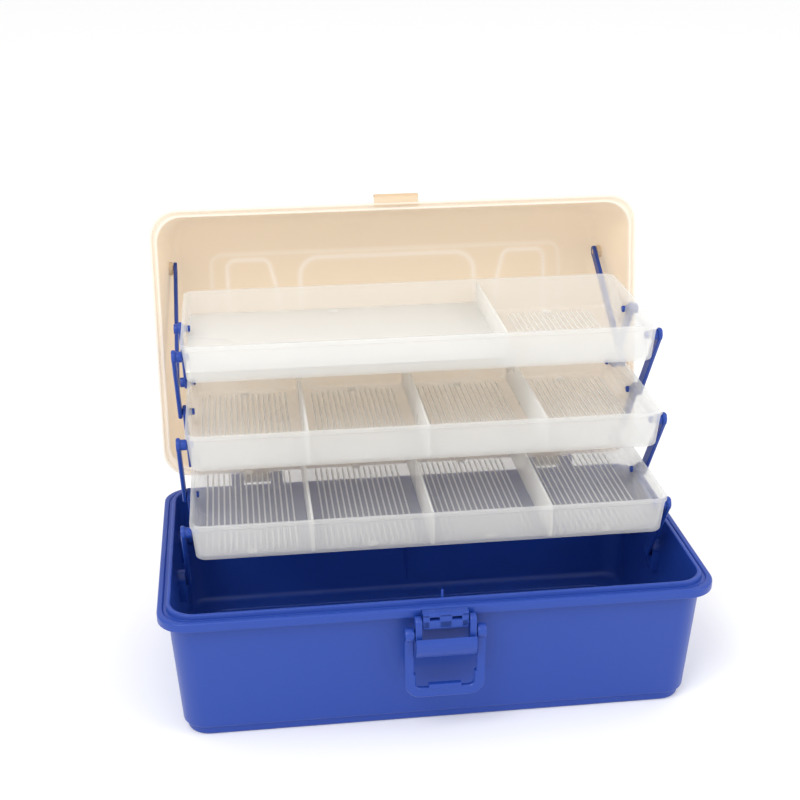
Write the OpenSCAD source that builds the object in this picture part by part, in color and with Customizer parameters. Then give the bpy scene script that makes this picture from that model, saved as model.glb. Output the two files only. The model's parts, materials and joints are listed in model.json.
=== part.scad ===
// Cantilever sewing box: blue tub, three clear trays on swinging links, cream lid and a wire-style latch.
// The origin is the centre of the underside of the tub. +X is to the right seen from the front, +Y is to the back.
// Everything is drawn with the box open and the trays raised.

/* [Node] */
// sub-part to draw

/* [Box] */
// width over the rim of the tub
box_w = 320; // [260:1:400]
// depth over the rim of the tub
box_d = 174; // [140:1:220]
// height of the tub from the table to the top of its rim
base_h = 82; // [64:1:110]
// wall thickness of the tub and the lid
wall = 2.2; // [1.8:0.1:3]
// how far the tub narrows on each side from rim to foot
taper = 4.5; // [1:0.5:7]

/* [Trays] */
// height of each tray
tray_h = 23; // [18:0.5:28]
// gap between stacked trays when the box is shut
tray_gap = 2; // [1:0.5:4]
// wall thickness of a tray
tray_wall = 1.4; // [1:0.1:2]
// thickness of a divider in a tray
divider = 2; // [1.2:0.1:3]
// share of the top tray taken by the long bay
long_bay = 0.675; // [0.4:0.005:0.8]

/* [Links] */
// lean of the open links away from upright
open_lean = 33; // [25:1:45]
// thickness of a link plate
plate = 2.4; // [2:0.1:2.6]
// width of a link plate
plate_w = 7.6; // [6:0.1:9]
// radius of the link pins
pin_r = 2; // [1.6:0.1:2.4]
// running clearance round a pin
pin_play = 0.08; // [0.05:0.01:0.1]

/* [Lid] */
// how far the open lid leans back past upright
lid_lean = 10.5; // [0:0.5:25]
// spread of the pivots of the carry handle
handle_w = 112; // [90:1:130]

/* [Latch] */
// width over the latch bail
bail_w = 46; // [40:1:60]
// reach of the latch bail from its pivot
bail_l = 41; // [36:1:50]

/* [Hidden] */
hw = box_w / 2;
hd = box_d / 2;
inset = 5.5;
lip_h = 2.3;
corner = 15;
slice = 0.02;
bore_r = pin_r + pin_play;
// trays and their pins
pin_up = tray_h / 2;
pin_in = 17;
pitch = (box_d - 24) / 3;
tray_d = 2 * pitch + 25;
top_d = tray_d - 18;
tray_hw = hw - 20.3;
tray_draft = 2;
stack = tray_h + tray_gap;
link_len = sqrt(pitch * pitch + stack * stack);
rise = link_len * cos(open_lean);
back = link_len * sin(open_lean);
step = pitch - back;
pivot_z = base_h - 19.5;
pivot_y = 20 - hd + pin_in + pitch;
low_front = pivot_y - back - pin_in;
mid_front = low_front + step;
top_front = mid_front + step;
low_z = pivot_z + rise - pin_up;
mid_z = low_z + rise;
top_z = mid_z + rise;
// link layers, outwards from the trays: rear links, front links, lid links
in_a = tray_hw + 0.6;
in_b = in_a + plate;
out_a = in_b + 0.4;
out_b = out_a + plate;
far_a = out_b + 0.4;
far_b = far_a + plate;
collar_x = tray_hw - 0.4;
// lid
hinge_y = hd + 5;
hinge_z = base_h + 2.5;
lid_open = 90 + lid_lean;
lid_in = pivot_z + 3 * stack - pin_up + tray_h + 1.5 - hinge_z;
lid_out = lid_in + wall;
rim_s = 4;
rim_e = box_d + 5;
arm_s = 0.7816 * box_d;
arm_d = lid_in - 9;
arm_y = hinge_y + arm_s * sin(lid_lean) + arm_d * cos(lid_lean);
arm_z = hinge_z + arm_s * cos(lid_lean) - arm_d * sin(lid_lean);
rear_y = mid_front + pin_in + 2 * pitch;
rear_z = mid_z + pin_up;
arm_len = sqrt((arm_y - rear_y) * (arm_y - rear_y) + (arm_z - rear_z) * (arm_z - rear_z));
arm_ang = atan2(arm_z - rear_z, arm_y - rear_y);
knuckle_r = 3.4;
knuckle_x = hw * 0.62;
handle_s = (rim_s + rim_e) / 2;
handle_d = lid_out + 5.2;
// latch
latch_y = -hd - 4.5;
latch_z = base_h - 7;
bail_z = latch_z - 6.5;
$fn = 40;

// flat rounded rectangle centred on the axis
module plate2d(a, b, r) {
    union() {
        square([2 * a, 2 * (b - r)], center = true);
        square([2 * (a - r), 2 * b], center = true);
        for (i = [-1, 1])
            for (j = [-1, 1])
                translate([i * (a - r), j * (b - r)])
                    circle(r);
    }
}

module slab(a, b, r, z, h) {
    translate([0, 0, z])
        linear_extrude(h)
            plate2d(a, b, r);
}

// thin slice of a rounded rectangle, for the tapered walls
module rim(a, b, r, z) {
    slab(a, b, r, z, slice);
}

module rod(x0, x1, r) {
    translate([x0, 0, 0])
        rotate([0, 90, 0])
            cylinder(r = r, h = x1 - x0);
}

module at(y, z) {
    translate([0, y, z])
        children();
}

module both_sides() {
    children();
    mirror([1, 0, 0])
        children();
}

// ---- tub ----
module tub_outer() {
    slab(hw - inset - taper - 2, hd - inset - taper - 1, corner - 3, 0, 6);
    hull() {
        rim(hw - inset - taper, hd - inset - taper + 1, corner - 2, 5.5);
        rim(hw - inset, hd - inset, corner - 4, base_h - 2);
    }
    slab(hw - inset, hd - inset, corner - 4, base_h - 3, 3 + lip_h);
}

module tub_inner() {
    slab(hw - inset - taper - 2 - wall, hd - inset - taper - 1 - wall, corner - 5, wall + 0.2, 6);
    hull() {
        rim(hw - inset - taper - wall, hd - inset - taper + 1 - wall, corner - 4, 7.6);
        rim(hw - inset - wall, hd - inset - wall, corner - 6, base_h - 3);
    }
    slab(hw - inset - wall, hd - inset - wall, corner - 6, base_h - 3.2, 8);
}

module tub_flange() {
    difference() {
        slab(hw, hd, corner, base_h - 5.5, 5.5);
        slab(hw - 1.8, hd - 1.8, corner - 1.8, base_h - 6.5, 4.5);
    }
}

module base_tub() {
    color([0.08, 0.16, 0.62])
    difference() {
        union() {
            tub_outer();
            tub_flange();
            // rear hinge lugs
            for (i = [-1, 1])
                for (j = [-1, 1])
                    translate([i * knuckle_x + j * 13, 0, 0]) {
                        at(hinge_y, hinge_z)
                            rod(-4, 4, knuckle_r);
                        translate([-4, hd - 3, base_h - 5])
                            cube([8, 8, 5.4]);
                    }
            // bracket of the latch
            translate([-13, latch_y - 2, latch_z - 3])
                cube([26, 8, 10]);
            // finger that keeps the front of the trays square
            translate([-0.9, wall + inset - hd - 0.6, base_h - 6])
                cube([1.8, 3, 13]);
        }
        tub_inner();
        // bores of the rear hinge
        for (i = [-1, 1])
            translate([i * knuckle_x, 0, 0])
                at(hinge_y, hinge_z)
                    rod(-20, 20, 1.5);
        // bore and slots of the latch bracket
        at(latch_y, latch_z)
            rod(-20, 20, 1.5);
        for (i = [-1, 1])
            translate([i * 6 - 3, latch_y - 3, base_h - 4])
                cube([6, 2.2, 2.4]);
    }
    color([0.08, 0.16, 0.62])
    tub_bosses();
}

// bosses in which the lowest links swing
module tub_bosses() {
    both_sides()
        for (k = [0, 1])
            at(pivot_y + k * pitch, pivot_z)
                difference() {
                    union() {
                        rod(out_b + 0.5, hw - inset - wall + 0.8, 5.5);
                        translate([out_b + 0.5, -5.5, -14])
                            cube([hw - inset - wall + 0.3 - out_b - 0.5, 11, 14]);
                    }
                    rod(out_b, out_b + 4, bore_r);
                }
}

module hinge_pins() {
    color([0.08, 0.16, 0.62])
    for (i = [-1, 1])
        translate([i * knuckle_x, 0, 0])
            at(hinge_y, hinge_z)
                rod(-17, 17, 1.5);
}

// ---- lid, drawn shut about its hinge line and then swung open ----
module lid_frame() {
    at(hinge_y, hinge_z)
        rotate([-lid_open, 0, 0])
            children();
}

module lid_slab(over, r, z) {
    translate([0, -(rim_s + rim_e) / 2, 0])
        rim(hw - over, (rim_e - rim_s) / 2 - over, r, z);
}

module lid_outer() {
    hull() {
        lid_slab(2.5, corner + 1, 3);
        lid_slab(5.5, corner + 3, lid_in - 10);
        lid_slab(8.5, corner + 3, lid_in - 2.5);
        lid_slab(14, corner, lid_out - slice);
    }
}

module lid_inner() {
    hull() {
        lid_slab(2.5 + wall, corner - 3, -3);
        lid_slab(5.5 + wall, corner + 1, lid_in - 11);
        lid_slab(8.5 + wall, corner + 1, lid_in - 4);
        lid_slab(15, corner - 1, lid_in - slice);
    }
}

module lid_shell() {
    color([0.96, 0.89, 0.8])
    lid_frame() {
        difference() {
            union() {
                lid_outer();
                // rim that closes down on the tub
                translate([0, -(rim_s + rim_e) / 2, 0])
                    slab(hw, (rim_e - rim_s) / 2, corner + 1, -1.5, 6.5);
                // knuckles of the rear hinge
                for (i = [-1, 1])
                    translate([i * knuckle_x, 0, 0]) {
                        rod(-8.6, 8.6, knuckle_r);
                        translate([-8.6, -rim_s - 1.5, 0.2])
                            cube([17.2, rim_s + 1.5, knuckle_r - 0.2]);
                    }
                // catch that the bail hooks over
                translate([-14.5, -rim_e - 5.5, -1])
                    cube([29, 7.5, 4]);
                translate([-14.5, -rim_e - 5.5, -1])
                    cube([29, 2, 6.5]);
                // lugs of the carry handle
                for (i = [-1, 1])
                    translate([i * (handle_w / 2 + 3.5) - 3.5, -handle_s - 5, lid_out - 3])
                        cube([7, 10, handle_d - lid_out + 7]);
            }
            lid_inner();
            for (i = [-1, 1])
                translate([i * knuckle_x, 0, 0])
                    rod(-9, 9, 1.58);
            at(-handle_s, handle_d)
                rod(-handle_w / 2 - 10, handle_w / 2 + 10, 2.58);
        }
        // pivots of the lid links
        both_sides()
            at(-arm_s, arm_d) {
                rod(far_b + 0.5, hw - 8, 4.6);
                rod(far_a, far_b + 1, pin_r);
            }
    }
}

module carry_handle() {
    color([0.96, 0.89, 0.8])
    lid_frame()
        at(-handle_s, handle_d)
            // hangs plumb while the lid is open
            rotate([lid_lean, 0, 0]) {
                both_sides() {
                    rod(handle_w / 2 - 6.5, handle_w / 2 + 6, 2.5);
                    translate([handle_w / 2 - 6.5, 0, -3])
                        cube([6, 33, 6]);
                    rod(handle_w / 2 - 6.5, handle_w / 2 - 0.5, 3);
                }
                translate([-handle_w / 2 + 0.5, 30, -3])
                    cube([handle_w - 1, 9, 6]);
            }
}

// ---- latch ----
module latch_pin() {
    color([0.08, 0.16, 0.62])
    at(latch_y, latch_z)
        rod(-16.8, 16.8, 1.5);
}

module latch_lever() {
    color([0.08, 0.16, 0.62])
    difference() {
        union() {
            both_sides() {
                translate([13.6, latch_y - 3.4, latch_z - 12])
                    cube([3.6, 6.4, 12]);
                at(latch_y, latch_z)
                    rod(13.6, 17.2, 4.2);
                at(latch_y, bail_z)
                    rod(17, bail_w / 2 - 0.4, 2);
            }
            // thumb plate, bowed outwards
            difference() {
                at(latch_y + 3, latch_z - 12)
                    rod(-17.2, 17.2, 10);
                at(latch_y + 3, latch_z - 12)
                    rod(-18, 18, 8);
                translate([-20, latch_y + 0.5, latch_z - 30])
                    cube([40, 20, 30]);
                translate([-13.6, latch_y - 10, latch_z - 5])
                    cube([27.2, 20, 8]);
            }
        }
        at(latch_y, latch_z)
            rod(-20, 20, 1.58);
        translate([-13.6, latch_y - 4, latch_z - 7])
            cube([27.2, 8, 16]);
    }
}

module latch_bail() {
    color([0.08, 0.16, 0.62])
    at(latch_y, bail_z)
        difference() {
            union() {
                both_sides() {
                    rod(17.8, bail_w / 2, 4);
                    translate([17.8, -1.6, -bail_l + 12])
                        cube([bail_w / 2 - 17.8, 3.2, bail_l - 12]);
                    translate([bail_w / 2 - 6.4, -1.6, -bail_l + 1])
                        cube([6.4, 3.2, 13]);
                }
                translate([2 - bail_w / 2, -1.6, -bail_l])
                    cube([bail_w - 4, 3.2, 5.5]);
                translate([-9, -1.6, -bail_l + 5])
                    cube([18, 3.2, 3]);
            }
            rod(-bail_w / 2 - 1, bail_w / 2 + 1, 2.08);
        }
}

// ---- trays ----
module tray_outer(d) {
    translate([0, d / 2, 0])
        hull() {
            rim(tray_hw - tray_draft, d / 2 - tray_draft, 7, 0);
            rim(tray_hw, d / 2, 6, tray_h - slice);
        }
}

module tray_inner(d) {
    translate([0, d / 2, 0])
        hull() {
            rim(tray_hw - tray_draft - tray_wall, d / 2 - tray_draft - tray_wall, 6, tray_wall);
            rim(tray_hw - tray_wall + 0.4, d / 2 - tray_wall + 0.4, 5, tray_h + 4);
        }
}

// holes for the link pins through both end walls
module tray_holes(n) {
    for (k = [0 : n - 1])
        at(pin_in + k * pitch, pin_up)
            rod(-hw, hw, bore_r);
}

module four_bay_tray() {
    difference() {
        union() {
            difference() {
                tray_outer(tray_d);
                tray_inner(tray_d);
            }
            intersection() {
                tray_outer(tray_d);
                for (i = [-1, 0, 1])
                    translate([i * tray_hw / 2 - divider / 2, 0.4, 0.4])
                        cube([divider, tray_d - 0.8, tray_h - 1]);
            }
        }
        tray_holes(3);
    }
}

module bottom_tray() {
    color([0.93, 0.94, 0.95])
    at(low_front, low_z)
        four_bay_tray();
}

module middle_tray() {
    color([0.93, 0.94, 0.95])
    at(mid_front, mid_z)
        four_bay_tray();
}

module top_tray() {
    split = (2 * long_bay - 1) * tray_hw;
    color([0.93, 0.94, 0.95])
    at(top_front, top_z)
        difference() {
            union() {
                difference() {
                    tray_outer(top_d);
                    tray_inner(top_d);
                }
                intersection() {
                    tray_outer(top_d);
                    union() {
                        translate([split - divider / 2, 0.4, 0.4])
                            cube([divider, top_d - 0.8, tray_h - 1]);
                        // raised floor of the long bay
                        translate([-tray_hw + 0.8, 0.6, tray_h * 0.3])
                            cube([tray_hw + split - 0.8, top_d - 1.2, 1.2]);
                    }
                }
            }
            tray_holes(2);
        }
}

// ---- links, drawn along +Y from the lower pin to the upper pin ----
module flat_plate(x0) {
    rod(x0, x0 + plate, plate_w / 2 + 0.4);
    translate([x0, 0, -plate_w / 2])
        cube([plate, link_len, plate_w]);
    at(link_len, 0)
        rod(x0, x0 + plate, plate_w / 2 + 0.4);
}

// pin that runs in from the front link layer through the wall of a tray
module long_pin() {
    rod(tray_hw - 4.2, out_a + 0.5, pin_r);
}

// collar that keeps the front link layer off the tray
module spacer() {
    rod(collar_x, out_a + 0.5, pin_r + 1.2);
}

// pin and collar of a link in the rear link layer
module short_pin() {
    rod(tray_hw - 4.2, in_a + 0.5, pin_r);
    rod(collar_x, in_a + 0.5, pin_r + 1.2);
}

module place(row_y, row_z) {
    color([0.08, 0.16, 0.62])
    at(row_y, row_z)
        rotate([90 + open_lean, 0, 0])
            children();
}

module link_low_front() {
    place(pivot_y, pivot_z) {
        flat_plate(out_a);
        rod(out_b - 0.5, out_b + 3.8, pin_r);
        at(link_len, 0) {
            long_pin();
            spacer();
        }
    }
}

// front link of the middle and top rows
module front_link() {
    flat_plate(out_a);
    long_pin();
    at(link_len, 0) {
        long_pin();
        spacer();
    }
}

// head of a rear link, on which the next front link turns
module bored_head() {
    difference() {
        union() {
            children();
            at(link_len, 0)
                rod(collar_x, in_a + 0.5, pin_r + 1.2);
        }
        at(link_len, 0)
            rod(collar_x - 1, in_b + 1, bore_r);
    }
}

module link_low_rear() {
    place(pivot_y + pitch, pivot_z)
        bored_head() {
            flat_plate(in_a);
            rod(in_b - 0.5, out_b + 3.8, pin_r);
            rod(in_b - 0.5, out_b + 0.1, pin_r + 1.2);
        }
}

module link_mid_front() {
    place(low_front + pin_in + pitch, low_z + pin_up)
        front_link();
}

module link_mid_rear() {
    place(low_front + pin_in + 2 * pitch, low_z + pin_up)
        bored_head() {
            flat_plate(in_a);
            short_pin();
        }
}

module link_top_front() {
    place(mid_front + pin_in + pitch, mid_z + pin_up)
        front_link();
}

module link_top_rear() {
    place(rear_y, rear_z) {
        flat_plate(in_a);
        for (end = [0, link_len])
            at(end, 0) {
                short_pin();
                rod(in_b - 0.5, out_b, pin_r + 1.2);
            }
    }
}

// drag link between the lid and the middle tray, outside all the others
module lid_link() {
    color([0.08, 0.16, 0.62])
    at(rear_y, rear_z)
        rotate([arm_ang, 0, 0])
            difference() {
                union() {
                    rod(far_a, far_b, plate_w / 2 + 0.4);
                    translate([far_a, 0, -plate_w / 2])
                        cube([plate, arm_len, plate_w]);
                    at(arm_len, 0)
                        rod(far_a, far_b, plate_w / 2 + 0.4);
                }
                at(arm_len, 0)
                    rod(far_a - 1, far_b + 1, bore_r);
            }
}

base_tub();
lid_shell();
hinge_pins();
carry_handle();
latch_lever();
latch_bail();
latch_pin();
bottom_tray();
middle_tray();
top_tray();
link_low_front();  // link_low_front_right
mirror([1, 0, 0]) link_low_front();  // link_low_front_left
link_low_rear();  // link_low_rear_right
mirror([1, 0, 0]) link_low_rear();  // link_low_rear_left
link_mid_front();  // link_mid_front_right
mirror([1, 0, 0]) link_mid_front();  // link_mid_front_left
link_mid_rear();  // link_mid_rear_right
mirror([1, 0, 0]) link_mid_rear();  // link_mid_rear_left
link_top_front();  // link_top_front_right
mirror([1, 0, 0]) link_top_front();  // link_top_front_left
link_top_rear();  // link_top_rear_right
mirror([1, 0, 0]) link_top_rear();  // link_top_rear_left
lid_link();  // lid_link_right
mirror([1, 0, 0]) lid_link();  // lid_link_left
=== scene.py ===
import json
import math

import bmesh
import bpy
import numpy as np
from mathutils import Matrix, Vector


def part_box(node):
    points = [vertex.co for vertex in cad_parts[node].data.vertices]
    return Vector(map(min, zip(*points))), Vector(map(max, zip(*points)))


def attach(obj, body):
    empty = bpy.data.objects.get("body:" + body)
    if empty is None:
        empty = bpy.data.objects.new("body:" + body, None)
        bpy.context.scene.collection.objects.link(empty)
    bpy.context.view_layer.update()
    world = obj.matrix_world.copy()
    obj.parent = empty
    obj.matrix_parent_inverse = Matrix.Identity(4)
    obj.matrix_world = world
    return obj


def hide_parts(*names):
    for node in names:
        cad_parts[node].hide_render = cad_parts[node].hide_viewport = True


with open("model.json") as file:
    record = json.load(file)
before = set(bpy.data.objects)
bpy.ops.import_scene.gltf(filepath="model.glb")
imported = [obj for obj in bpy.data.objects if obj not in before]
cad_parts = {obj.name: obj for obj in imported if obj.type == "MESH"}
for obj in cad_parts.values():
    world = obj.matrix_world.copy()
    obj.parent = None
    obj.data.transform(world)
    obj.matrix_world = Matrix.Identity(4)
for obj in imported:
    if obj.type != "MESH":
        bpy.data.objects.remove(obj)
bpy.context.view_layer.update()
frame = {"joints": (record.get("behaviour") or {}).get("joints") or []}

MM = 0.001
RIGHT, LEFT = 1, -1
JOINTS = {j["name"]: Vector(j["pos_m"]) / MM for j in frame["joints"]}


def box_mm(node):
    """Lowest and highest corner of a CAD node, in millimetres."""
    low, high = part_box(node)
    return low / MM, high / MM


# ---- finishes ----
def srgb(code):
    """Linear colour of an sRGB hex value."""
    parts = [int(code[i:i + 2], 16) / 255 for i in (1, 3, 5)]
    return [c / 12.92 if c <= 0.04045 else ((c + 0.055) / 1.055) ** 2.4 for c in parts] + [1.0]


def add(tree, kind, settings=(), inputs=(), links=()):
    """Adds a node: its settings, its input values, and links to its inputs from other nodes' outputs."""
    made = tree.nodes.new(kind)
    for name, value in dict(settings).items():
        setattr(made, name, value)
    for name, value in dict(inputs).items():
        made.inputs[name].default_value = value
    for name, output in dict(links).items():
        tree.links.new(output, made.inputs[name])
    return made


def plastic(name, shader, grain_mm, grain_height_mm, ripple_mm, ripple_height_mm, rough, edge=None,
            opacity=1.0, glow=0.0, glow_tint=None):
    """Moulded plastic: a fine tool texture over slow sink ripples, with smudges in the gloss.

    opacity is what one skin of it hides, glow is the share of light that soaks through from behind.
    """
    material = bpy.data.materials.new(name)
    material.use_nodes = True
    tree = material.node_tree
    tree.nodes.clear()
    place = add(tree, "ShaderNodeTexCoord").outputs["Object"]
    grain = add(tree, "ShaderNodeTexNoise", inputs={"Scale": 1 / (grain_mm * MM), "Detail": 2.0},
                links={"Vector": place})
    ripple = add(tree, "ShaderNodeTexNoise", inputs={"Scale": 1 / (ripple_mm * MM), "Detail": 1.0},
                 links={"Vector": place})
    first = add(tree, "ShaderNodeBump", inputs={"Distance": ripple_height_mm * MM, "Strength": 1.0},
                links={"Height": ripple.outputs["Fac"]})
    second = add(tree, "ShaderNodeBump", inputs={"Distance": grain_height_mm * MM, "Strength": 1.0},
                 links={"Height": grain.outputs["Fac"], "Normal": first.outputs["Normal"]})
    gloss = add(tree, "ShaderNodeMapRange", {"interpolation_type": "SMOOTHSTEP"},
                {"From Min": 0.1, "From Max": 0.9, "To Min": rough[0], "To Max": rough[1]},
                {"Value": ripple.outputs["Fac"]})
    body = add(tree, "ShaderNodeBsdfPrincipled", inputs=shader,
               links={"Normal": second.outputs["Normal"], "Roughness": gloss.outputs["Result"]})
    # the paler edge colour is laid on by a vertex attribute: a painted highlight along the lid's pressed
    # outlines, and the rim painted almost white
    if edge:
        mark = add(tree, "ShaderNodeAttribute", {"attribute_name": "painted_highlight_and_pale_rim"})
        mixed = add(tree, "ShaderNodeMix", {"data_type": "RGBA"},
                    {"A": shader["Base Color"], "B": edge}, {"Factor": mark.outputs["Fac"]})
        tree.links.new(mixed.outputs["Result"], body.inputs["Base Color"])
    surface = body.outputs["BSDF"]
    if glow:
        soak = add(tree, "ShaderNodeBsdfTranslucent", inputs={"Color": glow_tint or shader["Base Color"]})
        both_lit = add(tree, "ShaderNodeMixShader", inputs={0: glow}, links={1: surface, 2: soak.outputs[0]})
        surface = both_lit.outputs[0]
    if opacity < 1:
        clear = add(tree, "ShaderNodeBsdfTransparent")
        veil = add(tree, "ShaderNodeMixShader", inputs={0: opacity}, links={1: clear.outputs[0], 2: surface})
        surface = veil.outputs[0]
    add(tree, "ShaderNodeOutputMaterial", links={"Surface": surface})
    return material


# Polypropylene, injection moulded and deeply dyed: a soft broad shine over royal blue.
BLUE_PP = plastic("royal_blue_polypropylene", {
    "Base Color": srgb("#20429A"), "IOR": 1.49, "Specular IOR Level": 0.38,
    "Subsurface Weight": 0.08, "Subsurface Radius": (0.004, 0.006, 0.02), "Subsurface Scale": 0.1},
    0.6, 0.006, 45, 0.12, (0.30, 0.42))
# Polypropylene with little pigment, injection moulded thin: it glows where light comes through from
# behind; its pressed outlines carry a painted highlight, paler than the panel, and its rim is painted almost
# white.
CREAM_PP = plastic("cream_translucent_polypropylene", {
    "Base Color": srgb("#F1DFC2"), "IOR": 1.49, "Specular IOR Level": 0.5},
    0.7, 0.005, 50, 0.04, (0.34, 0.44), edge=srgb("#FFFAF2"), opacity=0.84, glow=0.42,
    glow_tint=srgb("#FFF7EC"))
# Undyed polypropylene, injection moulded thin: a milky veil that shows what lies behind it.
CLEAR_PP = plastic("natural_clear_polypropylene", {
    "Base Color": srgb("#EEEEEC"), "IOR": 1.45, "Specular IOR Level": 0.5},
    0.8, 0.003, 60, 0.0, (0.26, 0.32), opacity=0.37, glow=0.35)
# The same plastic where it stands thicker, in dividers and raised floors, so it looks whiter.
MILKY_PP = plastic("natural_milky_polypropylene", {
    "Base Color": srgb("#F7F6F3"), "IOR": 1.45, "Specular IOR Level": 0.5},
    0.8, 0.003, 60, 0.0, (0.26, 0.32), opacity=0.64, glow=0.35)


# ---- shaping helpers, all in millimetres ----
def make_piece(name, body, material, bm, replaces=(), sharp=32):
    """Turns a bmesh drawn in millimetres into a finished piece in metres."""
    bmesh.ops.transform(bm, matrix=Matrix.Scale(MM, 4), verts=bm.verts)
    mesh = bpy.data.meshes.new(name)
    bm.to_mesh(mesh)
    bm.free()
    mesh.materials.append(material)
    mesh.polygons.foreach_set("use_smooth", [True] * len(mesh.polygons))
    mesh.set_sharp_from_angle(angle=math.radians(sharp))
    made = bpy.data.objects.new(name, mesh)
    bpy.context.scene.collection.objects.link(made)
    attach(made, body)
    if replaces:
        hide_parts(*replaces)
    return made


def arc_corner(before, corner, after, radius, steps=5):
    """Points of a rounded corner between two straight runs."""
    a, b, c = (np.array(p, float) for p in (before, corner, after))
    u, v = (a - b) / np.linalg.norm(a - b), (c - b) / np.linalg.norm(c - b)
    angle = math.acos(max(-1, min(1, float(u @ v))))
    if radius <= 0 or angle > math.radians(176):
        return [tuple(b)]
    reach = radius / math.tan(angle / 2)
    middle = b + (u + v) / np.linalg.norm(u + v) * radius / math.sin(angle / 2)
    start, end = b + u * reach - middle, b + v * reach - middle
    turn = math.pi - angle
    points = []
    for i in range(steps + 1):
        t = i / steps
        points.append(tuple(middle + (math.sin((1 - t) * turn) * start + math.sin(t * turn) * end)
                            / math.sin(turn)))
    return points


def rounded_path(corners):
    """A polyline of (x, y, radius) corners, each turned into an arc."""
    points = [tuple(corners[0][:2])]
    for before, here, after in zip(corners, corners[1:], corners[2:]):
        points += arc_corner(before[:2], here[:2], after[:2], here[2])
    return points + [tuple(corners[-1][:2])]


def outline(half_x, half_y, radius, arc=9, along_x=1, along_y=1):
    """Points round a rounded rectangle, always the same number for the same counts."""
    radius = max(min(radius, half_x - 0.01, half_y - 0.01), 0.05)
    points = []
    for quarter, (sx, sy) in enumerate(((1, 1), (-1, 1), (-1, -1), (1, -1))):
        for i in range(arc + 1):
            t = math.pi / 2 * (quarter + i / arc)
            points.append((sx * (half_x - radius) + radius * math.cos(t),
                           sy * (half_y - radius) + radius * math.sin(t)))
        run = along_x if quarter % 2 == 0 else along_y
        a = np.array(points[-1])
        t = math.pi / 2 * (quarter + 1)
        nx, ny = ((-1, 1), (-1, -1), (1, -1), (1, 1))[quarter]
        b = np.array((nx * (half_x - radius) + radius * math.cos(t),
                      ny * (half_y - radius) + radius * math.sin(t)))
        points += [tuple(a + (b - a) * k / run) for k in range(1, run)]
    return points


def skin(bm, rings, close_ends=True, closed=False):
    """Joins rings of equal length into a skin, capped at both ends or closed on itself."""
    rows = [[bm.verts.new(p) for p in ring] for ring in rings]
    pairs = list(zip(rows, rows[1:])) + ([(rows[-1], rows[0])] if closed else [])
    for low, high in pairs:
        for i in range(len(low)):
            j = (i + 1) % len(low)
            bm.faces.new((low[i], low[j], high[j], high[i]))
    if close_ends and not closed:
        bm.faces.new(rows[0][::-1])
        bm.faces.new(rows[-1])
    return rows


def outward(bm):
    """Turns the faces of a closed solid outwards."""
    bmesh.ops.recalc_face_normals(bm, faces=bm.faces)
    return bm


def merge(bm, part):
    """Adds a closed solid to a piece."""
    outward(part)
    mesh = bpy.data.meshes.new("part")
    part.to_mesh(mesh)
    part.free()
    bm.from_mesh(mesh)
    bpy.data.meshes.remove(mesh)


def tray_like(bm, half_x, half_y, radius, profile, centre_y, keep=0.5, **counts):
    """A vessel lofted through a rounded profile of (inset from the rim, height, fillet radius)."""
    part = bmesh.new()
    rings = []
    for inset, z in rounded_path(profile):
        flat = outline(half_x - inset, half_y - inset, radius - keep * inset, **counts)
        rings.append([(x, y + centre_y, z) for x, y in flat])
    skin(part, rings)
    merge(bm, part)


def block(bm, low, high, bevel=0.5, segments=2, taper=(0, 0)):
    """A moulded block with eased edges; taper narrows its top in X and Y."""
    part = bmesh.new()
    cx, cy = (low[0] + high[0]) / 2, (low[1] + high[1]) / 2
    corners = [[(cx + sx * ((high[0] - low[0]) / 2 - tx), cy + sy * ((high[1] - low[1]) / 2 - ty), z)
                for sx, sy in ((-1, -1), (1, -1), (1, 1), (-1, 1))]
               for z, tx, ty in ((low[2], 0, 0), (high[2], taper[0], taper[1]))]
    skin(part, corners)
    if bevel:
        bmesh.ops.bevel(part, geom=part.edges[:] + part.verts[:], offset=bevel, segments=segments,
                        profile=0.5, affect="EDGES", clamp_overlap=True)
    merge(bm, part)


def rod(bm, x0, x1, y, z, radius, dome=0.4, sides=28):
    """A pin or knuckle along X with eased ends."""
    part = bmesh.new()
    side = 1 if x1 > x0 else -1
    eased = ((0, radius - dome), (dome * 0.3, radius - dome * 0.3), (dome, radius))
    stations = [(x0 + side * u, r) for u, r in eased] + [(x1 - side * u, r) for u, r in reversed(eased)]
    skin(part, [[(x, y + r * math.cos(2 * math.pi * k / sides), z + r * math.sin(2 * math.pi * k / sides))
                 for k in range(sides)] for x, r in stations])
    merge(bm, part)


def strap(bm, foot, head, x, width, thick, ends):
    """A flat link between two pins, with round eyes a little wider than itself."""
    part = bmesh.new()
    foot, head = Vector((0, *foot)), Vector((0, *head))
    length = (head - foot).length
    along = (head - foot).normalized()
    across = Vector((0, -along.z, along.y))
    eye = ends / 2
    stations = []
    steps = 9
    for i in range(steps):
        t = math.pi / 2 * (1 - (i + 0.35) / steps)
        stations.append((-eye * math.sin(t), eye * math.cos(t)))
    neck = math.sqrt(max(eye * eye - (width / 2) ** 2, 0))
    stations += [(neck + 0.01, width / 2)]
    stations += [(length - u, w) for u, w in reversed(stations[:steps + 1])]
    ease = min(0.55, thick / 4)
    rings = []
    for u, w in stations:
        h, e = thick / 2, min(ease, w * 0.45)
        section = [(h, w - e), (h - e, w), (-h + e, w), (-h, w - e), (-h, -w + e), (-h + e, -w), (h - e, -w),
                   (h, -w + e)]
        rings.append([tuple(foot + along * u + across * q + Vector((x + p, 0, 0))) for p, q in section])
    skin(part, rings)
    merge(bm, part)


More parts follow.
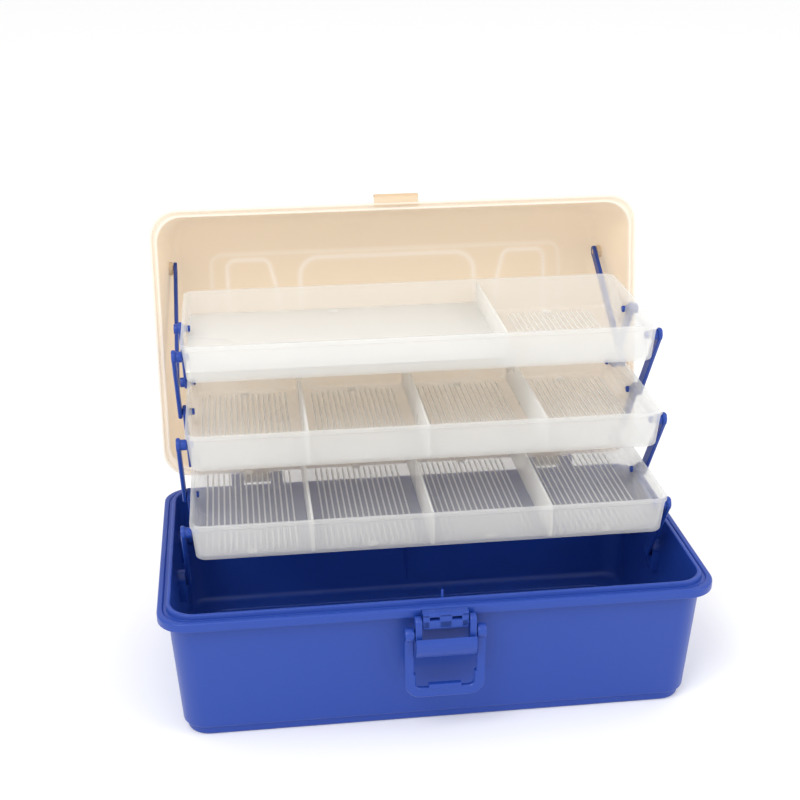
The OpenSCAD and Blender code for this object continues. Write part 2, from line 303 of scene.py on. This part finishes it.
def hoop(bm, corners, width_at, thick, place, ease=0.6):
    """A flat bar bent round a path in its own plane; place turns (x, z, y) of that plane into the frame."""
    part = bmesh.new()
    path = [np.array(p) for p in rounded_path(corners)]
    rings = []
    for i, point in enumerate(path):
        ahead = path[min(i + 1, len(path) - 1)] - point
        behind = point - path[max(i - 1, 0)]
        units = [v / np.linalg.norm(v) for v in (ahead, behind) if np.linalg.norm(v) > 1e-9]
        way = sum(units)
        way = way / np.linalg.norm(way)
        side = np.array((-way[1], way[0]))
        bend = 1 / max(abs(float(way @ units[0])), 0.5)
        w, h = width_at(point) / 2 * bend, thick / 2
        e = min(ease, h * 0.9)
        section = [(w - e, h), (w, h - e), (w, -h + e), (w - e, -h), (-w + e, -h), (-w, -h + e), (-w, h - e),
                   (-w + e, h)]
        rings.append([place(point[0] + side[0] * p, point[1] + side[1] * p, q) for p, q in section])
    skin(part, rings)
    merge(bm, part)


def both(bm, draw):
    """Draws something on the right and the left."""
    for side in (RIGHT, LEFT):
        draw(bm, side)


# ---- measures taken from the frame ----
half_w = box_mm("base_tub")[1].x
hinge = JOINTS["lid_hinge"]
HINGE_SETBACK, HINGE_LIFT = 5.0, 2.5
half_d = hinge.y - HINGE_SETBACK
base_h = hinge.z - HINGE_LIFT
KNUCKLE_X = half_w * 0.62
lip_h = 2.3
skirt = 5.5
rim_radius = 17.0

# ---- tub ----
tub = bmesh.new()
tray_like(tub, half_w, half_d, rim_radius, [
    (30, 0.8, 0), (16.5, 0.8, 0.6), (15.6, 0, 0.6), (12.4, 0, 1.6), (12.1, 5.6, 0.5), (10.2, 6.1, 1.6),
    (skirt, base_h - skirt + 3.8, 0.6), (1.8, base_h - 1.7, 0.4), (1.8, base_h - skirt, 0.5),
    (0, base_h - skirt, 0.7), (0, base_h, 1.1), (3.0, base_h, 0.8), (3.5, base_h - 0.9, 0.4),
    (5.2, base_h - 0.9, 0.4), (5.6, base_h + lip_h, 0.7), (7.7, base_h + lip_h, 0.7), (7.7, base_h - 3, 0),
    (13.0, 2.4, 4.0), (24, 2.4, 0.5), (24.6, 3.1, 0.4), (27, 3.1, 0.4),
    (27.6, 2.4, 0.5), (40, 2.4, 0)], 0, keep=0.3)
# seam down the middle of the back wall, left by the mould
block(tub, (-0.7, half_d - 12.6, 8), (0.7, half_d - 7.0, base_h - 4), 0.3)
# short stiffeners under the rim beside the latch and along the front
for x in (-34, -27, 27, 34):
    block(tub, (x - 0.9, -half_d + 1.4, base_h - 5.2), (x + 0.9, -half_d + 6.6, base_h - 1), 0.3)
# finger that keeps the front tray square
block(tub, (-0.9, -half_d + 7.1, base_h - 6), (0.9, -half_d + 9.4, base_h + 7), 0.6, taper=(0.2, 0.5))
# bracket of the latch with its two windows
latch_pin = JOINTS["lever_pivot"]
bracket = bmesh.new()
for x0, x1 in ((-13, -9), (-3.6, 3.6), (9, 13)):
    block(bracket, (x0, latch_pin.y - 2, latch_pin.z - 2.2), (x1, latch_pin.y + 4.5, latch_pin.z + 6.6), 0.5)
block(bracket, (-13, latch_pin.y - 2, latch_pin.z - 3), (13, latch_pin.y + 4.5, latch_pin.z + 2.6), 0.8, 3)
block(bracket, (-13, latch_pin.y - 2, latch_pin.z + 4.6), (13, latch_pin.y + 4.5, latch_pin.z + 7), 0.5)
merge(tub, bracket)


TUB_BOSS_X, TUB_BOSS_R = (146.0, 153.0), 5.5


def tub_boss(bm, side):
    """Bosses in which the lowest links swing."""
    for joint in ("link_low_front_right_pivot", "link_low_rear_right_pivot"):
        pin = JOINTS[joint]
        near, far = sorted((side * TUB_BOSS_X[0], side * TUB_BOSS_X[1]))
        rod(bm, side * TUB_BOSS_X[0], side * TUB_BOSS_X[1], pin.y, pin.z, TUB_BOSS_R, 0.5)
        block(bm, (near, pin.y - TUB_BOSS_R, pin.z - 14), (far, pin.y + TUB_BOSS_R, pin.z), 0.7)


both(tub, tub_boss)


def tub_lug(bm, side):
    """Pair of lugs that carry one hinge pin."""
    for off in (-13, 13):
        x = side * KNUCKLE_X + off
        rod(bm, x - 4, x + 4, hinge.y, hinge.z, 3.4, 0.4)
        block(bm, (x - 4, half_d - 3, base_h - 5), (x + 4, hinge.y + 2.9, base_h + 0.6), 0.5)


both(tub, tub_lug)
make_piece("tub", "tub", BLUE_PP, tub, ("base_tub",))

pins = bmesh.new()
for side in (RIGHT, LEFT):
    x = side * KNUCKLE_X
    rod(pins, x - 17, x + 17, hinge.y, hinge.z, 1.5, 0.5)
make_piece("tub_hinge_pins", "tub", BLUE_PP, pins, ("hinge_pins",))
pin = bmesh.new()
rod(pin, -16.8, 16.8, latch_pin.y, latch_pin.z, 1.5, 0.5)
make_piece("latch_hinge_pin", "tub", BLUE_PP, pin, ("latch_pin",))


# ---- lid, drawn shut and flat, then leant back about its hinge ----
lid_link_pin = JOINTS["lid_link_right_pivot"]
handle_pin = JOINTS["handle_pivot"]
lean = next(j for j in frame["joints"] if j["name"] == "lid_hinge")["range_deg"][1] - 90
LEAN_SIN, LEAN_COS = math.sin(math.radians(lean)), math.cos(math.radians(lean))


def from_lid(x, s, d):
    """Frame position of a lid point: s away from the hinge, d away from the tub."""
    return x, hinge.y + s * LEAN_SIN + d * LEAN_COS, hinge.z + s * LEAN_COS - d * LEAN_SIN


def to_lid(point):
    """Distance from the hinge and from the tub of a frame point."""
    y, z = point.y - hinge.y, point.z - hinge.z
    return y * LEAN_SIN + z * LEAN_COS, y * LEAN_COS - z * LEAN_SIN


def lean_back(bm):
    """Moves a solid drawn with x, s and d as its axes into the frame."""
    for v in bm.verts:
        v.co = Vector(from_lid(*v.co))


lid_s0, lid_s1 = 4.0, 179.0
lid_mid = (lid_s0 + lid_s1) / 2
lid_half = (lid_s1 - lid_s0) / 2
panel_out = 68.2
panel_in = 66.0


def polygon_distance(x, s, points, radius):
    """Signed distance from points to a polygon with rounded corners, negative inside."""
    pts = np.array(points, float)
    best = np.full(x.shape, 1e9)
    inside = np.zeros(x.shape, bool)
    for a, b in zip(pts, np.roll(pts, -1, axis=0)):
        edge = b - a
        t = np.clip(((x - a[0]) * edge[0] + (s - a[1]) * edge[1]) / (edge @ edge), 0, 1)
        best = np.minimum(best, np.hypot(x - a[0] - t * edge[0], s - a[1] - t * edge[1]))
        crosses = ((a[1] > s) != (b[1] > s)) & (x < (b[0] - a[0]) * (s - a[1]) / (b[1] - a[1] + 1e-12) + a[0])
        inside ^= crosses
    return np.where(inside, -best, best) - radius


def panel_shapes(x, s):
    """The three kinds of pressed outline on the lid: field, side pockets and handle bay, as distances."""
    x = np.abs(x)
    high, low = lid_mid + 47.5, lid_mid - 47.5
    field = polygon_distance(x, s, [(-115, high - 4), (115, high - 4), (115, low + 4), (-115, low + 4)], 8)
    pocket = polygon_distance(x, s, [(106, high - 6), (88, high - 6), (83, high - 26), (83, low + 26),
                                     (88, low + 6), (106, low + 6)], 6)
    bay = polygon_distance(x, s, [(-48.5, high - 13), (48.5, high - 13),
                                  (48.5, low + 13), (-48.5, low + 13)], 13)
    return field, pocket, bay


def press(distance, depth, width=1.6):
    """Depth of a pressed step whose edge has a soft slope."""
    t = np.clip(0.5 - distance / width, 0, 1)
    return depth * t * t * (3 - 2 * t)


lid = bmesh.new()
lid_profile_out = [(86.9, panel_out, 0), (7.6, panel_out, 9), (2.6, 5, 0.8), (0.2, 5, 0.8), (0, -1.5, 0.5),
                   (1.3, -1.5, 0.3), (1.4, 1.0, 0.4), (3.2, 1.0, 0.4), (3.3, -1.5, 0.3), (4.6, -1.5, 0.4),
                   (4.8, 5, 0), (9.8, panel_in, 7.5), (86.9, panel_in, 0)]
path = rounded_path(lid_profile_out)
fine = []
for (i0, d0), (i1, d1) in zip(path, path[1:]):
    # the panel is cut into narrow bands so that its pressed outlines stay crisp
    flat = abs(d0 - d1) < 1e-6 and abs(i1 - i0) > 5
    bands = max(1, int(abs(i1 - i0) / 1.4)) if flat else 1
    fine += [(i0 + (i1 - i0) * k / bands, d0 + (d1 - d0) * k / bands) for k in range(bands)]
fine.append(path[-1])
rings = []
for inset, d in fine:
    flat = outline(half_w - inset, lid_half - inset, max(17 - 0.12 * inset, 2), 14, 150, 76)
    rings.append([(x, y + lid_mid, d) for x, y in flat])
part = bmesh.new()
skin(part, rings)
outward(part)
line = part.verts.layers.float.new("painted_highlight_and_pale_rim")
co = np.array([v.co for v in part.verts])
on_panel = co[:, 2] > panel_in - 1
field, pocket, bay = panel_shapes(co[:, 0], co[:, 1])
depth = press(field, 0.45, 2.4) + press(pocket, 0.65) + press(bay, 0.8)
# painted highlight: a pale line along every pressed outline, where the steep step catches the light
glow = np.maximum.reduce([np.exp(-(f / w) ** 2) * a for f, w, a in
                          ((field, 1.3, 0.6), (pocket, 1.3, 1.0), (bay, 1.5, 1.0))])
for v, press_depth, painted_outline_highlight, flat in zip(part.verts, depth, glow, on_panel):
    if flat:
        v.co.z -= press_depth
        v[line] = painted_outline_highlight
    elif v.co.z < 4.5:
        # the thick rim passes less colour and reads almost white; the near white is partly that, partly a
        # painted highlight
        v[line] = 0.9
mesh = bpy.data.meshes.new("part")
part.to_mesh(mesh)
part.free()
lid.from_mesh(mesh)
bpy.data.meshes.remove(mesh)

# catch that the bail hooks over
block(lid, (-14.5, lid_s1 - 2, -1), (14.5, lid_s1 + 5.5, 3), 0.6)
block(lid, (-14.5, lid_s1 + 3.5, -1), (14.5, lid_s1 + 5.5, 5.5), 0.6)


def lid_knuckle(bm, side):
    """Knuckle of the rear hinge with its web to the rim."""
    x = side * KNUCKLE_X
    rod(bm, x - 8.6, x + 8.6, 0, 0, 3.4, 0.4)
    block(bm, (x - 8.6, 0, 0.2), (x + 8.6, 5.5, 3.4), 0.4)


LID_BOSS_X, LID_STUD_X = (148.8, 152.4), (145.9, 149.2)


def lid_pivot(bm, side):
    """Boss and stud that carry a lid link."""
    s, d = to_lid(lid_link_pin)
    rod(bm, side * LID_BOSS_X[0], side * LID_BOSS_X[1], s, d, 4.6, 0.5)
    rod(bm, side * LID_STUD_X[0], side * LID_STUD_X[1], s, d, 2.0, 0.4)


def handle_lug(bm, side):
    """Lug that the carry handle swings in."""
    s, d = to_lid(handle_pin)
    x = side * 59.5
    block(bm, (x - 3.5, s - 5, panel_in + 0.8), (x + 3.5, s + 5, d + 4.4), 1.4, 3)


for draw in (lid_knuckle, lid_pivot, handle_lug):
    both(lid, draw)
lean_back(lid)
bmesh.ops.reverse_faces(lid, faces=lid.faces)
make_piece("lid", "lid", CREAM_PP, lid, ("lid_shell",))

# ---- carry handle, hanging behind the open lid ----
handle = bmesh.new()
reach = 36.0
hoop(handle, [(-52.5, 3, 0), (-52.5, -reach + 1.5, 9), (52.5, -reach + 1.5, 9), (52.5, 3, 0)],
     lambda p: 6.0 + 2.6 * min(max((-p[1] - 20) / 12, 0), 1), 5.8,
     lambda x, z, y: (x, handle_pin.y + y, handle_pin.z + z), 1.8)
for side in (RIGHT, LEFT):
    rod(handle, side * 49.6, side * 62, handle_pin.y, handle_pin.z, 2.5, 0.6)
    rod(handle, side * 49.5, side * 55.5, handle_pin.y, handle_pin.z, 3.0, 0.6)
make_piece("handle", "handle", CREAM_PP, handle, ("carry_handle",))

# ---- latch ----
bail_low, bail_high = box_mm("latch_bail")
bail_pin = JOINTS["bail_pivot"]
lever = bmesh.new()
for side in (RIGHT, LEFT):
    ear = bmesh.new()
    path = rounded_path([(-3.4, -11.5, 0), (-3.4, 4.2, 3.4), (4.2, 4.2, 3.4), (4.2, -2, 3), (3.0, -6, 2),
                         (3.0, -12.2, 1.2), (-3.4, -12.2, 0.6), (-3.4, -11.6, 0)])
    skin(ear, [[(side * x, latch_pin.y + y, latch_pin.z + z) for y, z in
                [(p[0] * k, p[1] * k) for p in path]]
               for x, k in ((13.6, 0.96), (13.9, 1), (16.9, 1), (17.2, 0.96))])
    merge(lever, ear)
    rod(lever, side * 16.8, side * (bail_high.x - 0.4), bail_pin.y, bail_pin.z, 2.0, 0.5)
plate = bmesh.new()
PLATE_OUT, PLATE_IN, BOW = 10.0, 8.0, (latch_pin.y + 3, latch_pin.z - 12)
CORNER_R = 4.0
sections = []
for x in (-17.2, -16.7, -15.6, -13.4, 13.4, 15.6, 16.7, 17.2):
    # the lower corners are rounded off
    nearness = max(CORNER_R - (17.2 - abs(x)), 0)
    cut = CORNER_R - math.sqrt(CORNER_R ** 2 - nearness ** 2)
    angles = [math.radians(a) for a in np.linspace(150, 255 - math.degrees(cut / PLATE_OUT), 15)]
    ring = [(PLATE_OUT, a) for a in angles] + [(PLATE_IN, a) for a in reversed(angles)]
    sections.append([(x, BOW[0] + r * math.cos(a), BOW[1] + r * math.sin(a)) for r, a in ring])
skin(plate, sections)
merge(lever, plate)
make_piece("latch_lever_piece", "lever", BLUE_PP, lever, ("latch_lever",))

bail = bmesh.new()
bail_r = bail_high.x
bail_len = bail_pin.z - bail_low.z


def bail_width(point):
    """The bail is slimmer beside the lever and wider where it hooks the lid."""
    return 5.2 if point[1] > -bail_len * 0.66 else 6.2


hoop(bail, [(-bail_r + 2.6, 0, 0), (-bail_r + 2.6, -bail_len * 0.655, 0),
            (-bail_r + 3.1, -bail_len * 0.665, 0),
            (-bail_r + 3.1, -bail_len + 2.7, 6), (bail_r - 3.1, -bail_len + 2.7, 6),
            (bail_r - 3.1, -bail_len * 0.665, 0), (bail_r - 2.6, -bail_len * 0.655, 0), (bail_r - 2.6, 0, 0)],
     bail_width, 3.2, lambda x, z, y: (x, bail_pin.y + y, bail_pin.z + z), 0.7)
for side in (RIGHT, LEFT):
    rod(bail, side * 17.8, side * bail_r, bail_pin.y, bail_pin.z, 4.0, 0.7)
block(bail, (-9.5, bail_pin.y - 1.5, bail_low.z + 3), (9.5, bail_pin.y + 1.5, bail_low.z + 8), 0.5)
make_piece("latch_bail_piece", "bail", BLUE_PP, bail, ("latch_bail",))


# ---- trays ----
pin_radius = 2.0
DIVIDER = 2.0


def bore(made, holes):
    """Drills round holes along X, (x0, x1, y, z, radius) each, and keeps the result as a plain mesh."""
    cutter = bmesh.new()
    for x0, x1, y, z, radius in holes:
        rod(cutter, x0, x1, y, z, radius, 0.05, 20)
    bmesh.ops.transform(cutter, matrix=Matrix.Scale(MM, 4), verts=cutter.verts)
    mesh = bpy.data.meshes.new("cutter")
    cutter.to_mesh(mesh)
    cutter.free()
    drill = bpy.data.objects.new("cutter", mesh)
    bpy.context.scene.collection.objects.link(drill)
    cut = made.modifiers.new("holes", "BOOLEAN")
    cut.object, cut.operation, cut.solver = drill, "DIFFERENCE", "EXACT"
    # a link is a plate and rods that overlap, so the cut has to sort out the piece's own crossings too
    cut.use_self = True
    bpy.context.view_layer.update()
    done = bpy.data.meshes.new_from_object(made.evaluated_get(bpy.context.evaluated_depsgraph_get()))
    made.modifiers.remove(cut)
    made.data = done
    bpy.data.objects.remove(drill)


def disc(bm, x, y, z, radius, height):
    """A shallow round mark standing on a floor."""
    part = bmesh.new()
    skin(part, [[(x + r * math.cos(2 * math.pi * k / 20), y + r * math.sin(2 * math.pi * k / 20), level)
                 for k in range(20)] for r, level in ((radius, z), (radius, z + height))])
    merge(bm, part)


def make_tray(name, node, body, dividers, pins_at, long_floor=None):
    """A thin tray with a rim band, dividers and open pin holes."""
    low, high = box_mm(node)
    half_x, half_y = high.x, (high.y - low.y) / 2
    centre_y = (high.y + low.y) / 2
    top = high.z
    shell = bmesh.new()
    tray_like(shell, half_x, half_y, 6.5, [
        (20, low.z, 0), (2.5, low.z, 2.0), (0.75, top - 3.0, 0.3), (0, top - 2.5, 0.3), (0, top, 0.45),
        (1.9, top, 0.45), (3.7, low.z + 1.4, 2.2), (20, low.z + 1.4, 0)], centre_y, keep=0.3, arc=6)
    made = make_piece(name, body, CLEAR_PP, shell, (node,))
    bore(made, [(side * 130, side * 146, y, z, pin_radius + 0.35) for y, z in pins_at
                for side in (RIGHT, LEFT)])
    inner = bmesh.new()
    for x in dividers:
        block(inner, (x - DIVIDER / 2, low.y + 3.4, low.z + 1.2), (x + DIVIDER / 2, high.y - 3.4, top - 1.2),
              0.45, 2, taper=(0.25, -1.2))
    if long_floor:
        x0, x1 = long_floor
        block(inner, (x0, low.y + 2.6, low.z + 6.9), (x1, high.y - 2.6, low.z + 8.1), 0.3)
    # round marks that the ejector pins of the mould leave at both ends of a bay
    walls = [-half_x] + list(dividers) + [half_x]
    for x0, x1 in zip(walls, walls[1:]):
        for y in (low.y + 9, high.y - 9):
            floor_z = low.z + (8.0 if long_floor and x1 <= long_floor[1] else 1.3)
            disc(inner, (x0 + x1) / 2, y, floor_z, 3.0, 0.35)
    make_piece(name + "_dividers", body, MILKY_PP, inner)
    return low, high


def rib_tree():
    """Ribs on a tray floor: a row of round bars half sunk in it, repeated in every bay."""
    tree = bpy.data.node_groups.new("tray_floor_ribs", "GeometryNodeTree")
    for label, kind, value in (("Ribs", "NodeSocketInt", 14), ("Rib Pitch", "NodeSocketFloat", 0.0039),
                               ("Bays", "NodeSocketInt", 4), ("Bay Pitch", "NodeSocketFloat", 0.0698),
                               ("Rib Length", "NodeSocketFloat", 0.09),
                               ("Rib Radius", "NodeSocketFloat", 0.0007),
                               ("First", "NodeSocketVector", (0, 0, 0)),
                               ("Finish", "NodeSocketMaterial", None)):
        socket = tree.interface.new_socket(label, in_out="INPUT", socket_type=kind)
        if value is not None:
            socket.default_value = value
    tree.interface.new_socket("Geometry", in_out="OUTPUT", socket_type="NodeSocketGeometry")
    given = add(tree, "NodeGroupInput").outputs
    bay_step = add(tree, "ShaderNodeCombineXYZ", links={"X": given["Bay Pitch"]})
    bays = add(tree, "GeometryNodeMeshLine", {"mode": "OFFSET"},
               links={"Count": given["Bays"], "Start Location": given["First"],
                      "Offset": bay_step.outputs[0]})
    rib_step = add(tree, "ShaderNodeCombineXYZ", links={"X": given["Rib Pitch"]})
    row = add(tree, "GeometryNodeMeshLine", {"mode": "OFFSET"},
              links={"Count": given["Ribs"], "Offset": rib_step.outputs[0]})
    end = add(tree, "ShaderNodeCombineXYZ", links={"Y": given["Rib Length"]})
    spine = add(tree, "GeometryNodeCurvePrimitiveLine", links={"End": end.outputs[0]})
    round_bar = add(tree, "GeometryNodeCurvePrimitiveCircle", inputs={"Resolution": 8},
                    links={"Radius": given["Rib Radius"]})
    bar = add(tree, "GeometryNodeCurveToMesh", inputs={"Fill Caps": True},
              links={"Curve": spine.outputs[0], "Profile Curve": round_bar.outputs[0]})
    rib_row = add(tree, "GeometryNodeInstanceOnPoints",
                  links={"Points": row.outputs[0], "Instance": bar.outputs[0]})
    every = add(tree, "GeometryNodeInstanceOnPoints",
                links={"Points": bays.outputs[0], "Instance": rib_row.outputs[0]})
    real = add(tree, "GeometryNodeRealizeInstances", links={"Geometry": every.outputs[0]})
    finish = add(tree, "GeometryNodeSetMaterial",
                 links={"Geometry": real.outputs[0], "Material": given["Finish"]})
    add(tree, "NodeGroupOutput", links={"Geometry": finish.outputs[0]})
    return tree


RIBS = rib_tree()


def make_ribs(name, body, values):
    """Runs the rib tree with these sizes and keeps the result as a plain mesh."""
    made = bpy.data.objects.new(name, bpy.data.meshes.new(name))
    bpy.context.scene.collection.objects.link(made)
    modifier = made.modifiers.new("ribs", "NODES")
    modifier.node_group = RIBS
    for item in RIBS.interface.items_tree:
        if item.item_type == "SOCKET" and item.in_out == "INPUT" and item.name in values:
            modifier[item.identifier] = values[item.name]
    bpy.context.view_layer.update()
    done = bpy.data.meshes.new_from_object(made.evaluated_get(bpy.context.evaluated_depsgraph_get()))
    made.modifiers.remove(modifier)
    made.data = done
    done.polygons.foreach_set("use_smooth", [True] * len(done.polygons))
    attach(made, body)
    return made


RIB_PITCH = 3.5
RIB_COUNT = 16
RIB_RADIUS = 0.55


def floor_ribs(name, body, low, high, first_x, bays, bay_pitch):
    """Ribs centred in each bay of a tray, running from front to back."""
    length = high.y - low.y - 22
    start = Vector((first_x - RIB_PITCH * (RIB_COUNT - 1) / 2, low.y + 11, low.z + 1.45)) * MM
    make_ribs(name, body, {"Ribs": RIB_COUNT, "Rib Pitch": RIB_PITCH * MM, "Bays": bays,
                           "Bay Pitch": bay_pitch * MM, "Rib Length": length * MM,
                           "Rib Radius": RIB_RADIUS * MM, "First": list(start), "Finish": MILKY_PP})


pitch_y = JOINTS["link_mid_rear_right_pivot"].y - JOINTS["link_mid_front_right_pivot"].y
tray_half = box_mm("bottom_tray")[1].x
quarters = [-tray_half / 2, 0, tray_half / 2]
TRAYS = (("tray_bottom", "bottom_tray", "tray_1", "link_mid_front_right_pivot"),
         ("tray_middle", "middle_tray", "tray_2", "link_top_front_right_pivot"))
for name, node, body, second_pin in TRAYS:
    second = JOINTS[second_pin]
    low, high = make_tray(name, node, body, quarters,
                          [(second.y + k * pitch_y, second.z) for k in (-1, 0, 1)])
    floor_ribs(name + "_ribs", body, low, high, -tray_half * 0.75, 4, tray_half / 2)
split = 0.35 * tray_half
top_low, top_high = box_mm("top_tray")
top_pin_y = top_low.y + 17
low, high = make_tray("tray_top", "top_tray", "tray_3", [split],
                      [(top_pin_y + k * pitch_y, (top_low.z + top_high.z) / 2) for k in (0, 1)],
                      long_floor=(-tray_half + 2.6, split))
floor_ribs("tray_top_ribs", "tray_3", low, high, (split + tray_half) / 2, 1, 0)


# ---- links: rear links next to the trays, front links outside them, lid links outermost ----
PLATE, LAYER_GAP = 2.4, 0.4
IN_X = tray_half + 0.6 + PLATE / 2
OUT_X = IN_X + PLATE + LAYER_GAP
FAR_X = OUT_X + PLATE + LAYER_GAP
OUT_FACE = OUT_X + PLATE / 2
LINK_W = 7.6
EYE_W = LINK_W + 0.8
COLLAR_R = pin_radius + 1.2
collar_x = tray_half - 0.4
inside_tray = tray_half - 4.2


def link_piece(name, side, foot, head, x, studs, bored=False):
    """One link plate with the pins moulded on it, its head bored where another piece's pin runs through."""
    bm = bmesh.new()
    strap(bm, foot, head, side * x, LINK_W, PLATE, EYE_W)
    for (y, z), x0, x1, radius in studs:
        rod(bm, side * x0, side * x1, y, z, radius, 0.4, 20)
    made = make_piece(name + "_plate", name, BLUE_PP, bm, (name,))
    if bored:
        bore(made, [(side * (x - 5), side * (x + 3), *head, pin_radius + 0.1)])


step = JOINTS["tray_1_level"] - JOINTS["link_low_rear_left_pivot"]
for side, label in ((RIGHT, "right"), (LEFT, "left")):
    for row in ("low", "mid", "top"):
        for end in ("front", "rear"):
            name = f"link_{row}_{end}_{label}"
            foot3 = JOINTS[name + "_pivot"]
            foot = (foot3.y, foot3.z)
            head = (foot3.y + step.y, foot3.z + step.z)
            x = OUT_X if end == "front" else IN_X
            carries = end == "rear" and row != "top"
            studs = [(head, collar_x, x, COLLAR_R)]
            if not carries:
                studs.append((head, inside_tray, x, pin_radius))
            if row == "low":
                studs.append((foot, x, OUT_FACE + 3.8, pin_radius))
            else:
                studs.append((foot, inside_tray, x, pin_radius))
            if end == "rear" and row != "mid":
                studs.append((foot, x, OUT_FACE, COLLAR_R))
            if end == "rear" and row != "low":
                studs.append((foot, collar_x, x, COLLAR_R))
            if end == "rear" and row == "top":
                studs.append((head, x, OUT_FACE, COLLAR_R))
            link_piece(name, side, foot, head, x, studs, carries)
    foot3 = JOINTS["link_top_rear_right_pivot"]
    link_piece(f"lid_link_{label}", side, (foot3.y, foot3.z), (lid_link_pin.y, lid_link_pin.z), FAR_X, [],
               bored=True)

# ---- floor, light and camera ----
stage_mesh = bpy.data.meshes.new("floor")
reach = 6.0
stage_mesh.from_pydata([(-reach, -reach, 0), (reach, -reach, 0), (reach, reach, 0), (-reach, reach, 0)], [],
                       [(0, 1, 2, 3)])
floor = bpy.data.objects.new("floor", stage_mesh)
bpy.context.scene.collection.objects.link(floor)
paper = bpy.data.materials.new("white_paper_sweep")
paper.use_nodes = True
paper.node_tree.nodes["Principled BSDF"].inputs["Base Color"].default_value = srgb("#FBFBFB")
paper.node_tree.nodes["Principled BSDF"].inputs["Roughness"].default_value = 0.9
stage_mesh.materials.append(paper)

world = bpy.data.worlds.new("studio")
bpy.context.scene.world = world
world.use_nodes = True
world.node_tree.nodes["Background"].inputs["Color"].default_value = srgb("#FFFFFF")
world.node_tree.nodes["Background"].inputs["Strength"].default_value = 1.0


def lamp(name, place, aim, size, power):
    """A soft box."""
    data = bpy.data.lights.new(name, "AREA")
    data.shape, data.size, data.energy = "DISK", size, power
    made = bpy.data.objects.new(name, data)
    made.location = place
    made.rotation_mode = "QUATERNION"
    made.rotation_quaternion = (Vector(aim) - Vector(place)).to_track_quat("-Z", "Y")
    bpy.context.scene.collection.objects.link(made)


lamp("key_softbox", (-0.9, -1.1, 1.7), (0, 0, 0.1), 1.2, 18)
lamp("fill_softbox", (1.4, -0.8, 1.2), (0, 0, 0.1), 1.4, 8)

YAW, PITCH, ROLL = -0.1178, -0.401, -0.007
forward = Vector((-math.sin(YAW) * math.cos(PITCH), math.cos(YAW) * math.cos(PITCH), math.sin(PITCH)))
level = Vector((math.cos(YAW), math.sin(YAW), 0))
lift = level.cross(forward)
across = level * math.cos(ROLL) + lift * math.sin(ROLL)
upward = lift * math.cos(ROLL) - level * math.sin(ROLL)
lens = bpy.data.cameras.new("camera")
lens.lens = 61.0
lens.sensor_width = 36.0
lens.shift_x, lens.shift_y = 0.0089, 0.0225
camera = bpy.data.objects.new("camera", lens)
camera.matrix_world = Matrix.Translation(Vector((-105.06, -735.82, 475.67)) * MM) @ Matrix(
    (across, upward, -forward)).transposed().to_4x4()
bpy.context.scene.collection.objects.link(camera)
bpy.context.scene.camera = camera
bpy.context.scene.view_settings.view_transform = "Standard"
